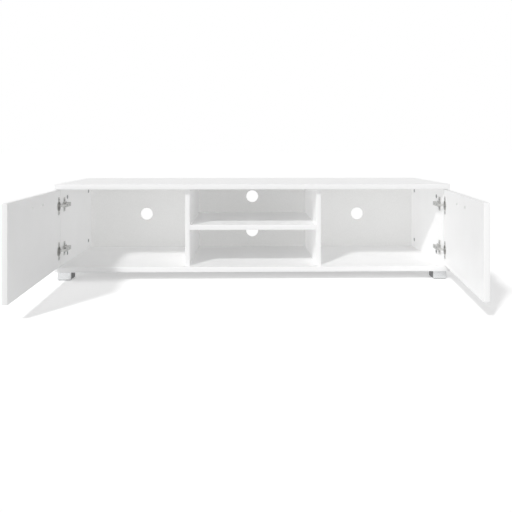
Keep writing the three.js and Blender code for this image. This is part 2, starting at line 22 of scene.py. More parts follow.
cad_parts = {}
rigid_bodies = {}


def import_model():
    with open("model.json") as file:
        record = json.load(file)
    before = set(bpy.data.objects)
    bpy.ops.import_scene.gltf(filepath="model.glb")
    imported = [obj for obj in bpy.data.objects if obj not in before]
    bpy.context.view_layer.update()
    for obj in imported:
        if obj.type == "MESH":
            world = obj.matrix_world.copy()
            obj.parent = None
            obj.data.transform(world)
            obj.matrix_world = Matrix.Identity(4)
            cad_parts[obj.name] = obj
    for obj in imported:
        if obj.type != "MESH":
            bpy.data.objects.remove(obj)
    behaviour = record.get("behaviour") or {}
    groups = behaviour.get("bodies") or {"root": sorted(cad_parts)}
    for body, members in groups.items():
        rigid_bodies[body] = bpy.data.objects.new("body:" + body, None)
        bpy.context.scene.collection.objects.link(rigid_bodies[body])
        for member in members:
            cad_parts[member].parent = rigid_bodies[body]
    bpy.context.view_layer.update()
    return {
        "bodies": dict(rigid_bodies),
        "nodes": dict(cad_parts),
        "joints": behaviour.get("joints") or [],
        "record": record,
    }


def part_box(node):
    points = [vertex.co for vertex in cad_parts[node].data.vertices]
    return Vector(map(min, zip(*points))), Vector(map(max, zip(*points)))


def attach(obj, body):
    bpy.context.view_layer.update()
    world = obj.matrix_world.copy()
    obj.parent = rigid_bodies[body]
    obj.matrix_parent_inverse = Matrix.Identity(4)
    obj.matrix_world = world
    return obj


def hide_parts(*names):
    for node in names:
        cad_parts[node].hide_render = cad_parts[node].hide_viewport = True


LOG = logging.getLogger("tv_stand")
MM = 0.001
X, Y, Z = 0, 1, 2

# Corners this near each other are one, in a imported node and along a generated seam.
WELD_MM = 0.002
SEAM_MM = 0.0002
# Corners this near a board's side belong to that side.
SIDE_MM = 0.01
# An edge that bends more than the first is an arris. One that bends less than the second
# isn't kept.
SHARP_DEG = 40.0
FLAT_DEG = 0.5
# The normals round an arris lean on the large faces beside it.
LARGE_FACE_WEIGHT = 100
# Noise hardly leaves this span, so a pattern is spread from here to its own span.
NOISE_LOW = 0.3
NOISE_HIGH = 0.7

STRAIGHT = Matrix.Identity(4)
# How a boolean node takes one mesh out of another.
CARVED = {"operation": "DIFFERENCE", "solver": "EXACT"}
# An edge band's plan lies in XY. These stand it up, along an upright board or round a door.
UPRIGHT = Matrix(((0, 0, -1, 0), (0, 1, 0, 0), (1, 0, 0, 0), (0, 0, 0, 1)))
FACING = Matrix(((1, 0, 0, 0), (0, 0, -1, 0), (0, 1, 0, 0), (0, 0, 0, 1)))

LEVELS = ("upper", "lower")
ROWS = ("front", "rear")


class Body(Enum):
    """The bodies that pieces ride on."""

    CARCASS = "carcass"
    LEFT_DOOR = "left_door"
    RIGHT_DOOR = "right_door"


class Slot(Enum):
    """The material slots that the finishes name."""

    BOARD = "board"
    BACK = "back"
    FOOT = "foot"
    HINGE = "hinge"
    FASTENER = "fastener"
    HANDLE = "handle"
    GLIDE = "glide"


class Side(Enum):
    """An end of the stand, with the sign of X there."""

    LEFT = -1
    RIGHT = 1

    @property
    def word(self) -> str:
        """The side's name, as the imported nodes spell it."""
        return self.name.lower()

    @property
    def door_body(self) -> Body:
        """The body of the door at this end."""
        return Body(f"{self.word}_door")

    @property
    def inwards(self) -> Vector:
        """The direction from this end to the middle of the stand."""
        return Vector((-self.value, 0, 0))


# Nodes and finishes


def linear(colour: str) -> tuple[float, float, float, float]:
    """Turns an sRGB hex colour into linear light.

    Args:
        colour: The colour as "#RRGGBB".

    Returns:
        Red, green, blue and an alpha of 1.
    """
    channels = [int(colour[i : i + 2], 16) / 255 for i in (1, 3, 5)]
    light = [c / 12.92 if c <= 0.04045 else ((c + 0.055) / 1.055) ** 2.4 for c in channels]
    return (*light, 1.0)


def add_node(
    tree: NodeTree, kind: str, inputs: dict[str | int, Any] | None = None, **settings: Any
) -> Node:
    """Adds a node with its settings, values and links.

    Args:
        tree: The tree that gets the node.
        kind: The node's type name.
        inputs: For each input, by name or index, a value, the output that feeds it, a node
            whose first output feeds it, or a list of nodes where it takes several.
        **settings: The node's own properties.

    Returns:
        The new node.
    """
    node = tree.nodes.new(kind)
    for key, value in settings.items():
        setattr(node, key, value)
    for key, given in (inputs or {}).items():
        for value in given if isinstance(given, list) else [given]:
            source = value.outputs[0] if isinstance(value, Node) else value
            if isinstance(source, NodeSocket):
                tree.links.new(source, node.inputs[key])
            else:
                node.inputs[key].default_value = source
    return node


def empty_tree(owner: Material | World) -> NodeTree:
    """Gives a material or a world a node tree with nothing in it.

    Args:
        owner: The material or world.

    Returns:
        Its tree.
    """
    owner.use_nodes = True
    owner.node_tree.nodes.clear()
    return owner.node_tree


@dataclass(frozen=True)
class Pattern:
    """A soft random pattern, spread from `low` to `high`.

    A feature is `size_mm` wide, and `octaves` finer layers lie over it. Where `stroke_mm`
    is given, the features are drawn out level to that length.
    """

    size_mm: float
    octaves: float = 2.0
    low: float = 0.0
    high: float = 1.0
    stroke_mm: float = 0.0

    def drawn(self, tree: NodeTree, place: NodeSocket) -> Node:
        """Adds the pattern.

        Args:
            tree: The material's tree.
            place: Object coordinates, in metres.

        Returns:
            The node whose output carries the pattern.
        """
        if self.stroke_mm:
            level = self.size_mm / self.stroke_mm
            stretch = {"Vector": place, "Scale": (level, level, 1.0)}
            place = add_node(tree, "ShaderNodeMapping", stretch).outputs[0]
        scale = 1.0 / (self.size_mm * MM)
        features = {"Vector": place, "Scale": scale, "Detail": self.octaves}
        noise = add_node(tree, "ShaderNodeTexNoise", features)
        found = {"Value": noise, "From Min": NOISE_LOW, "From Max": NOISE_HIGH}
        spread = {"To Min": self.low, "To Max": self.high}
        return add_node(tree, "ShaderNodeMapRange", found | spread)


@dataclass(frozen=True)
class Finish:
    """A surface finish: its plain values, a relief, and where it has them an uneven tone
    that runs to a second colour and an uneven gloss."""

    name: str
    slot: Slot
    colour: str
    roughness: float
    relief: Pattern
    relief_mm: float
    relief_strength: float
    metallic: float = 0.0
    tone: Pattern | None = None
    second_colour: str = "#FFFFFF"
    gloss: Pattern | None = None

    @cache
    def material(self) -> Material:
        """Builds the material the first time, and gives the same one after that.

        Returns:
            The material.
        """
        material = bpy.data.materials.new(self.name)
        colour = linear(self.colour)
        material.diffuse_color = colour
        tree = empty_tree(material)
        plain = {"Base Color": colour, "Metallic": self.metallic, "Roughness": self.roughness}
        shader = add_node(tree, "ShaderNodeBsdfPrincipled", plain)
        add_node(tree, "ShaderNodeOutputMaterial", {"Surface": shader})
        place = add_node(tree, "ShaderNodeTexCoord").outputs["Object"]
        if self.tone:
            share = self.tone.drawn(tree, place)
            # Inputs 6 and 7 and output 2 are the ones for colours.
            both = {0: share, 6: colour, 7: linear(self.second_colour)}
            mix = add_node(tree, "ShaderNodeMix", both, data_type="RGBA")
            tree.links.new(mix.outputs[2], shader.inputs["Base Color"])
        if self.gloss:
            gloss = self.gloss.drawn(tree, place)
            tree.links.new(gloss.outputs[0], shader.inputs["Roughness"])
        height = self.relief.drawn(tree, place)
        depth, strength = self.relief_mm * MM, self.relief_strength
        bump = {"Height": height, "Distance": depth, "Strength": strength}
        tree.links.new(add_node(tree, "ShaderNodeBump", bump).outputs[0], shader.inputs["Normal"])
        return material


# White paper foil pressed on chipboard: satin, with the press plate's fine orange peel and
# a very faint cloudiness where the board under it takes up the resin.
FOIL = Finish(
    name="pressed_white_foil",
    slot=Slot.BOARD,
    colour="#F9F9F9",
    roughness=0.4,
    relief=Pattern(2.4, octaves=1.0),
    relief_mm=0.012,
    relief_strength=0.5,
    tone=Pattern(90.0, octaves=3.0),
    second_colour="#F6F6F6",
    gloss=Pattern(25.0, low=0.36, high=0.44),
)
# Extruded plastic edge tape, trimmed and scraped: a shade deeper than the foil beside it
# and a little glossier, with the slight unevenness that its scraper leaves.
TAPE = Finish(
    name="white_edge_tape",
    slot=Slot.BOARD,
    colour="#F1F1F1",
    roughness=0.32,
    relief=Pattern(1.1),
    relief_mm=0.01,
    relief_strength=0.4,
    gloss=Pattern(8.8, low=0.29, high=0.37),
)
# Thin hardboard with a printed coat of white: flatter and a touch greyer than the boards,
# with the fibres' fine mottle showing through.
HARDBOARD = Finish(
    name="painted_hardboard",
    slot=Slot.BACK,
    colour="#F6F6F5",
    roughness=0.58,
    relief=Pattern(3.5, octaves=4.0),
    relief_mm=0.03,
    relief_strength=0.35,
    tone=Pattern(3.5, octaves=4.0),
    second_colour="#F1F1F0",
)
# Aluminium block, brushed round its sides and clear anodised: broad soft reflections drawn
# out along the brushing. The strokes are drawn as coarse as they need to be to show.
ALUMINIUM = Finish(
    name="brushed_anodised_aluminium",
    slot=Slot.FOOT,
    colour="#D9DADB",
    roughness=0.26,
    metallic=1.0,
    relief=Pattern(0.35, octaves=3.0, stroke_mm=12.0),
    relief_mm=0.006,
    relief_strength=0.5,
    gloss=Pattern(0.35, octaves=3.0, low=0.21, high=0.36, stroke_mm=12.0),
)
# Pressed steel with dull nickel plating: grey, half-sharp reflections over an uneven tone
# and the sheet's rolling grain, drawn as coarse as it needs to be to show.
NICKEL = Finish(
    name="nickel_plated_pressed_steel",
    slot=Slot.HINGE,
    colour="#D2D2D0",
    roughness=0.36,
    metallic=0.6,
    relief=Pattern(0.9),
    relief_mm=0.01,
    relief_strength=0.4,
    tone=Pattern(7.0, octaves=3.0),
    second_colour="#C4C4C2",
)
# Steel or cast zinc with bright zinc plating: a bluish grey, rougher than the hinges, with
# the plating's crystals, as coarse as they need to be to show, a shade darker in places.
ZINC = Finish(
    name="zinc_plated_fastener",
    slot=Slot.FASTENER,
    colour="#C0C1C2",
    roughness=0.42,
    metallic=0.7,
    relief=Pattern(1.6),
    relief_mm=0.02,
    relief_strength=0.3,
    tone=Pattern(1.6),
    second_colour="#AEAFB1",
)
# Screw steel with bright nickel plating: pale, quick reflections over a head that its
# forging left slightly uneven.
BRIGHT = Finish(
    name="bright_nickel_plated_screw",
    slot=Slot.FASTENER,
    colour="#E9E9E8",
    roughness=0.28,
    metallic=1.0,
    relief=Pattern(2.0),
    relief_mm=0.03,
    relief_strength=0.3,
)
# Die-cast zinc, polished and chromed: near mirror, with the long soft waves that polishing
# leaves.
CHROME = Finish(
    name="chromed_die_cast_zinc",
    slot=Slot.HANDLE,
    colour="#C9CACD",
    roughness=0.14,
    metallic=1.0,
    relief=Pattern(14.0, octaves=1.0),
    relief_mm=0.05,
    relief_strength=0.3,
)
# Die-cut foam rubber pad: dead matt and nearly black, with closed pores, drawn as coarse as
# they need to be to show.
FOAM = Finish(
    name="die_cut_foam_rubber",
    slot=Slot.GLIDE,
    colour="#2E2E2E",
    roughness=0.92,
    relief=Pattern(0.8),
    relief_mm=0.1,
    relief_strength=0.6,
    tone=Pattern(0.8),
    second_colour="#232323",
)
# Painted shade: a matt mid grey for the thin plugs in the ends of the feet. It stands for the
# shade on the feet's inner ends under the stand, with a fine spark grain and a slightly uneven
# tone. The grain is drawn as coarse as it needs to be to show.
SHADE_PLUG = Finish(
    name="moulded_grey_polypropylene",
    slot=Slot.GLIDE,
    colour="#8A8A8B",
    roughness=0.62,
    relief=Pattern(0.5),
    relief_mm=0.03,
    relief_strength=0.5,
    tone=Pattern(0.5),
    second_colour="#828283",
)


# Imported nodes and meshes


class Box(NamedTuple):
    """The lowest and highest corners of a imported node."""

    low: Vector
    high: Vector

    @property
    def size(self) -> Vector:
        """How far it reaches along each axis."""
        return self.high - self.low

    @property
    def middle(self) -> Vector:
        """Its middle."""
        return (self.low + self.high) / 2

    def face(self, axis: int, sign: int) -> Vector:
        """Finds the middle of one of its sides.

        Args:
            axis: The axis that the side looks along.
            sign: 1 where it looks forwards along the axis, and -1 where it looks back.

        Returns:
            The point.
        """
        point = self.middle
        point[axis] = (self.high if sign > 0 else self.low)[axis]
        return point


def box_of(node: str, frame: Matrix | None = None) -> Box:
    """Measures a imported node.

    Args:
        node: The node's name.
        frame: Turns the node's own frame into the stand's, where the two differ.

    Returns:
        Its box, in its own frame.
    """
    if frame is None:
        return Box(*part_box(node))
    back = frame.inverted()
    corners = [back @ v.co for v in bpy.data.objects[node].data.vertices]
    low, high = (Vector([pick(c[i] for c in corners) for i in (X, Y, Z)]) for pick in (min, max))
    return Box(low, high)


def new_object(name: str, data: ID) -> Object:
    """Links a new object to the scene.

    Args:
        name: Its name.
        data: Its mesh, lamp or camera.

    Returns:
        The object.
    """
    made = bpy.data.objects.new(name, data)
    bpy.context.scene.collection.objects.link(made)
    return made


def settle(piece: Object) -> None:
    """Turns what the modifiers make into the piece's own mesh and removes them.

    Args:
        piece: An object with modifiers.
    """
    bpy.context.view_layer.update()
    graph = bpy.context.evaluated_depsgraph_get()
    mesh = bpy.data.meshes.new_from_object(
        piece.evaluated_get(graph), preserve_all_data_layers=True, depsgraph=graph
    )
    piece.modifiers.clear()
    piece.data = mesh
    mesh.name = piece.name


def finish_piece(piece: Object, finish: Finish, body: Body, replaced: Iterable[str] = ()) -> None:
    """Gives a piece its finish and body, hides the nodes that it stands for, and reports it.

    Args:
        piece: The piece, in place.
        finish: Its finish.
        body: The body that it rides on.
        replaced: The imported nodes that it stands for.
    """
    piece.data.materials.clear()
    piece.data.materials.append(finish.material())
    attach(piece, body.value)
    nodes = list(replaced)
    if nodes:
        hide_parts(*nodes)
    LOG.info("%s: %d faces, %s", piece.name, len(piece.data.polygons), finish.name)


def node_shape(node: str) -> BMesh:
    """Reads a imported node's shape, with its triangles joined into whole faces.

    Args:
        node: The node's name.

    Returns:
        The shape. Whoever asks for it frees it.
    """
    shape = bmesh.new()
    shape.from_mesh(bpy.data.objects[node].data)
    bmesh.ops.remove_doubles(shape, verts=shape.verts, dist=WELD_MM * MM)
    flat = math.radians(FLAT_DEG)
    bmesh.ops.dissolve_limit(shape, angle_limit=flat, verts=shape.verts, edges=shape.edges)
    return shape


def softened(name: str, shape: BMesh, radius_mm: float, segments: int = 3) -> Object:
    """Makes a piece of a shape with its sharp edges rounded.

    Args:
        name: The piece's name.
        shape: The shape, which is freed.
        radius_mm: The radius of the edges.
        segments: How many steps the rounding has.

    Returns:
        The piece, with a plain mesh.
    """
    mesh = bpy.data.meshes.new(name)
    shape.to_mesh(mesh)
    shape.free()
    mesh.polygons.foreach_set("use_smooth", [True] * len(mesh.polygons))
    piece = new_object(name, mesh)
    rounding = piece.modifiers.new("arris", "BEVEL")
    rounding.width = radius_mm * MM
    rounding.segments = segments
    rounding.limit_method = "ANGLE"
    rounding.angle_limit = math.radians(SHARP_DEG)
    flattening = piece.modifiers.new("flat_faces", "WEIGHTED_NORMAL")
    flattening.weight = LARGE_FACE_WEIGHT
    flattening.keep_sharp = True
    settle(piece)
    return piece


def soften_nodes(nodes: Sequence[str], radius_mm: float, finish: Finish, body: Body) -> None:
    """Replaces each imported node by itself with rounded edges.

    Args:
        nodes: The nodes' names.
        radius_mm: The radius of the edges.
        finish: Their finish.
        body: The body that they ride on.
    """
    for node in nodes:
        piece = softened(f"{node}_finished", node_shape(node), radius_mm)
        finish_piece(piece, finish, body, [node])


# Geometry Nodes

Sockets = dict[str, NodeSocket]


def open_tree(title: str, inputs: dict[str, str]) -> tuple[NodeTree, Sockets]:
    """Starts a Geometry Nodes tree.

    Args:
        title: The tree's name.
        inputs: The kind of socket of each named input.

    Returns:
        The tree, and its inputs by name.
    """
    tree = bpy.data.node_groups.new(title, "GeometryNodeTree")
    for name, kind in inputs.items():
        tree.interface.new_socket(name=name, in_out="INPUT", socket_type=f"NodeSocket{kind}")
    tree.interface.new_socket(name="made", in_out="OUTPUT", socket_type="NodeSocketGeometry")
    entry = add_node(tree, "NodeGroupInput")
    return tree, {socket.name: socket for socket in entry.outputs if socket.name}


def close_tree(tree: NodeTree, made: Node, given: Sockets) -> None:
    """Ends a tree with its result made real, in the finish that it is given.

    Args:
        tree: The tree.
        made: The node whose output carries the result.
        given: The tree's inputs.
    """
    solid = add_node(tree, "GeometryNodeRealizeInstances", {0: made})
    coat = {"Geometry": solid, "Material": given["finish"]}
    add_node(tree, "NodeGroupOutput", {0: add_node(tree, "GeometryNodeSetMaterial", coat)})


def grown(mesh: Mesh, tree: NodeTree, values: dict[str, Any], place: Matrix = STRAIGHT) -> Object:
    """Runs a Geometry Nodes tree, joins the seams of its result and faces it outwards.

    Args:
        mesh: The points or lines that the tree starts from, under the piece's name.
        tree: The tree.
        values: The values of its named inputs.
        place: Where the result's own frame lies in the stand's.

    Returns:
        The piece, with a plain mesh.
    """
    piece = new_object(mesh.name, mesh)
    modifier = piece.modifiers.new("grown", "NODES")
    modifier.node_group = tree
    for item in tree.interface.items_tree:
        if item.item_type == "SOCKET" and item.in_out == "INPUT" and item.name in values:
            modifier[item.identifier] = values[item.name]
    settle(piece)
    shape = bmesh.new()
    shape.from_mesh(piece.data)
    bmesh.ops.remove_doubles(shape, verts=shape.verts, dist=SEAM_MM * MM)
    shape.transform(place)
    bmesh.ops.recalc_face_normals(shape, faces=shape.faces)
    if shape.calc_volume(signed=True) < 0:
        bmesh.ops.reverse_faces(shape, faces=shape.faces)
    shape.to_mesh(piece.data)
    shape.free()
    piece.data.polygons.foreach_set("use_smooth", [True] * len(piece.data.polygons))
    piece.data.set_sharp_from_angle(angle=math.radians(SHARP_DEG))
    return piece


def turned(tree: NodeTree, diameter: Any, length: Any, sides: int, rise: float = -0.5) -> Node:
    """Adds a round bar along Z.

    Args:
        tree: The tree.
        diameter: What carries its diameter.
        length: What carries its length.
        sides: How many flats stand for its round.
        rise: How far its middle stands over the origin, as a share of its length.

    Returns:
        The node that carries the bar.
    """
    radius = add_node(tree, "ShaderNodeMath", {0: diameter, 1: 0.5}, operation="MULTIPLY")
    cut = {"Vertices": sides, "Radius": radius, "Depth": length}
    bar = add_node(tree, "GeometryNodeMeshCylinder", cut)
    return lifted(tree, bar, length, rise)


def lifted(tree: NodeTree, mesh: Node, height: Any, share: float) -> Node:
    """Adds a shift of a mesh along Z by a share of a height.

    Args:
        tree: The tree.
        mesh: The node that carries the mesh.
        height: What carries the height.
        share: The share of it that the mesh goes up.

    Returns:
        The node that carries the shifted mesh.
    """
    step = {0: (0.0, 0.0, share), "Scale": height}
    offset = add_node(tree, "ShaderNodeVectorMath", step, operation="SCALE")
    return add_node(tree, "GeometryNodeTransform", {"Geometry": mesh, "Translation": offset})


def cross_cut(
    tree: NodeTree, mesh: Node, arm: Sequence[NodeSocket], top: NodeSocket | float
) -> Node:
    """Cuts a cross recess down from a height.

    Args:
        tree: The tree.
        mesh: The node that carries what it is cut into.
        arm: What carries the length, width and depth of the cross's arms.
        top: The height of the face that it is cut into.

    Returns:
        The node that carries the cut mesh.
    """
    length, width, depth = arm
    twice = add_node(tree, "ShaderNodeMath", {0: depth, 1: 2.0}, operation="MULTIPLY")
    for x, y in ((length, width), (width, length)):
        size = add_node(tree, "ShaderNodeCombineXYZ", {"X": x, "Y": y, "Z": twice})
        block = add_node(tree, "GeometryNodeMeshCube", {"Size": size})
        parts = {0: mesh, 1: lifted(tree, block, top, 1.0)}
        mesh = add_node(tree, "GeometryNodeMeshBoolean", parts, **CARVED)
    return mesh


# Repeated hardware


class Place(NamedTuple):
    """Where one item of repeated hardware sits, and which way its head looks."""

    position: Vector
    aim: Vector


@dataclass(frozen=True)
class Repeated:
    """Hardware that Geometry Nodes copy to a list of places.

    A field that ends in _mm is a size, and becomes a named input of the tree, in metres.
    """

    seed: int = 7
    spin_deg: float = 0.0

    @classmethod
    def item(cls, tree: NodeTree, given: Sockets) -> Node:
        """Adds one item to a tree that is given its inputs, the item's head along +Z."""
        raise NotImplementedError

    @classmethod
    def sizes(cls) -> dict[str, str]:
        """The field that holds each size, by the name of its input."""
        held = [f.name for f in fields(cls) if f.name.endswith("_mm")]
        return {field.removesuffix("_mm"): field for field in held}

    @classmethod
    @cache
    def tree(cls) -> NodeTree:
        """Builds the tree the first time, and gives the same one after that.

        Returns:
            The tree.
        """
        sizes = dict.fromkeys(cls.sizes(), "Float")
        turns = {"seed": "Int", "spin": "Float"}
        inputs = {"places": "Geometry", **sizes, **turns, "finish": "Material"}
        tree, given = open_tree(cls.__name__, inputs)
        aim = add_node(
            tree, "GeometryNodeInputNamedAttribute", {"Name": "aim"}, data_type="FLOAT_VECTOR"
        )
        facing = add_node(tree, "FunctionNodeAlignRotationToVector", {"Vector": aim}, axis="Z")
        # Inputs 2 and 3 and output 1 are the ones for a plain number.
        span = {"Seed": given["seed"], 2: 0.0, 3: given["spin"]}
        turn = add_node(tree, "FunctionNodeRandomValue", span).outputs[1]
        about = {"Axis": (0.0, 0.0, 1.0), "Angle": turn}
        spin = add_node(tree, "FunctionNodeAxisAngleToRotation", about)
        both = {"Rotation": facing, "Rotate By": spin}
        spun = add_node(tree, "FunctionNodeRotateRotation", both, rotation_space="LOCAL")
        copies = {"Points": given["places"], "Instance": cls.item(tree, given), "Rotation": spun}
        close_tree(tree, add_node(tree, "GeometryNodeInstanceOnPoints", copies), given)
        return tree

    def fit(
        self,
        name: str,
        places: Sequence[Place],
        finish: Finish,
        body: Body,
        replaced: Iterable[str] = (),
        arris_mm: float = 0.0,
    ) -> None:
        """Copies the item to every place and dresses the copies as one piece.

        Args:
            name: The piece's name.
            places: Where the items go.
            finish: Their finish.
            body: The body that they ride on.
            replaced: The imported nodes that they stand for.
            arris_mm: The radius of their edges, where those are rounded.
        """
        points = bpy.data.meshes.new(name)
        points.from_pydata([tuple(p.position) for p in places], [], [])
        aims = points.attributes.new("aim", "FLOAT_VECTOR", "POINT")
        aims.data.foreach_set("vector", [c for p in places for c in p.aim])
        sizes = {size: getattr(self, field) * MM for size, field in self.sizes().items()}
        turns = {"seed": self.seed, "spin": math.radians(self.spin_deg)}
        piece = grown(points, self.tree(), {**sizes, **turns, "finish": finish.material()})
        piece.data.attributes.remove(piece.data.attributes["aim"])
        if arris_mm:
            shape = bmesh.new()
            shape.from_mesh(piece.data)
            bpy.data.objects.remove(piece)
            piece = softened(name, shape, arris_mm)
        finish_piece(piece, finish, body, replaced)


@dataclass(frozen=True)
class CrossScrew(Repeated):
    """A domed screw with a cross recess. The place is where its head sits down."""

    spin_deg: float = 90.0
    head_mm: float = 7.0
    head_height_mm: float = 2.0
    recess_mm: float = 4.0
    recess_width_mm: float = 0.9
    recess_depth_mm: float = 1.4
    shank_mm: float = 3.5
    length_mm: float = 12.0

    dome: ClassVar[float] = 0.55
    head_sides: ClassVar[int] = 28
    head_rings: ClassVar[int] = 5
    shank_sides: ClassVar[int] = 20

    @classmethod
    def item(cls, tree: NodeTree, given: Sockets) -> Node:
        """Adds a domed head over a plain shank, with the recess cut into it.

        The head's rim drops by the share `dome` of its height, and the drop grows with the
        square of the distance from the middle.

        Args:
            tree: The tree.
            given: Its inputs.

        Returns:
            The node that carries the item.
        """
        height = given["head_height"]
        radius = add_node(tree, "ShaderNodeMath", {0: given["head"], 1: 0.5}, operation="MULTIPLY")
        steps = {"Vertices": cls.head_sides, "Fill Segments": cls.head_rings}
        size = {"Radius": radius, "Depth": height}
        kind = "GeometryNodeMeshCylinder"
        blank = add_node(tree, kind, steps | size, fill_type="TRIANGLE_FAN")
        level = {0: add_node(tree, "GeometryNodeInputPosition"), 1: (1.0, 1.0, 0.0)}
        flat = add_node(tree, "ShaderNodeVectorMath", level, operation="MULTIPLY")
        reach = add_node(tree, "ShaderNodeVectorMath", {0: flat}, operation="LENGTH").outputs[1]
        share = add_node(tree, "ShaderNodeMath", {0: reach, 1: radius}, operation="DIVIDE")
        bend = add_node(tree, "ShaderNodeMath", {0: share, 1: 2.0}, operation="POWER")
        drop = add_node(tree, "ShaderNodeMath", {0: height, 1: -cls.dome}, operation="MULTIPLY")
        fall = add_node(tree, "ShaderNodeMath", {0: bend, 1: drop}, operation="MULTIPLY")
        offset = add_node(tree, "ShaderNodeCombineXYZ", {"Z": fall})
        top = {"Geometry": blank, "Selection": blank.outputs["Top"], "Offset": offset}
        head = lifted(tree, add_node(tree, "GeometryNodeSetPosition", top), height, 0.5)
        arm = [given[size] for size in ("recess", "recess_width", "recess_depth")]
        cut = cross_cut(tree, head, arm, height)
        shank = turned(tree, given["shank"], given["length"], cls.shank_sides)
        return add_node(tree, "GeometryNodeJoinGeometry", {0: [cut, shank]})


@dataclass(frozen=True)
class CamDisc(Repeated):
    """A cam lock: a cast disc flush with the board, with a cross slot and a raised rim.
    The place is the middle of its face."""

    diameter_mm: float = 15.0
    depth_mm: float = 12.5
    rim_mm: float = 1.1
    dish_mm: float = 0.5
    slot_mm: float = 9.0
    slot_width_mm: float = 1.7
    slot_depth_mm: float = 3.0

    sides: ClassVar[int] = 48

    @classmethod
    def item(cls, tree: NodeTree, given: Sockets) -> Node:
        """Adds the disc, dished inside its rim, with the slot cut into it.

        Args:
            tree: The tree.
            given: Its inputs.

        Returns:
            The node that carries the item.
        """
        disc = turned(tree, given["diameter"], given["depth"], cls.sides)
        rims = {0: given["rim"], 1: -2.0, 2: given["diameter"]}
        inner = add_node(tree, "ShaderNodeMath", rims, operation="MULTIPLY_ADD")
        twice = add_node(tree, "ShaderNodeMath", {0: given["dish"], 1: 2.0}, operation="MULTIPLY")
        parts = {0: disc, 1: turned(tree, inner, twice, cls.sides, 0.0)}
        dished = add_node(tree, "GeometryNodeMeshBoolean", parts, **CARVED)
        arm = [given[size] for size in ("slot", "slot_width", "slot_depth")]
        return cross_cut(tree, dished, arm, 0.0)


@dataclass(frozen=True)
class RoundPin(Repeated):
    """A plain pin with square ends. The place is the middle of one end."""

    diameter_mm: float = 5.0
    length_mm: float = 16.0

    sides: ClassVar[int] = 32

    @classmethod
    def item(cls, tree: NodeTree, given: Sockets) -> Node:
        """Adds the pin, behind its place."""
        return turned(tree, given["diameter"], given["length"], cls.sides)


@dataclass(frozen=True)
class RoundedBlock(Repeated):
    """A block with a rectangular plan and round upright corners. The place is the middle
    of its lower face."""

    length_mm: float = 48.0
    width_mm: float = 48.0
    height_mm: float = 28.0
    corner_mm: float = 3.0

    corner_steps: ClassVar[int] = 8

    @classmethod
    def item(cls, tree: NodeTree, given: Sockets) -> Node:
        """Adds the rounded plan, filled and raised.

        Args:
            tree: The tree.
            given: Its inputs.

        Returns:
            The node that carries the item.
        """
        plan = {"Width": given["length"], "Height": given["width"]}
        outline = add_node(tree, "GeometryNodeCurvePrimitiveQuadrilateral", plan)
        corners = {"Curve": outline, "Count": cls.corner_steps, "Radius": given["corner"]}
        rounded = add_node(tree, "GeometryNodeFilletCurve", corners, mode="POLY")
        face = add_node(tree, "GeometryNodeFillCurve", {0: rounded}, mode="NGONS")
        up = {"Mesh": face, "Offset Scale": given["height"], "Individual": False}
        raised = add_node(tree, "GeometryNodeExtrudeMesh", up)
        bottom = add_node(tree, "GeometryNodeFlipFaces", {0: face})
        joined = add_node(tree, "GeometryNodeJoinGeometry", {0: [raised, bottom]})
        return add_node(tree, "GeometryNodeMergeByDistance", {0: joined})


# Boards and their edge bands


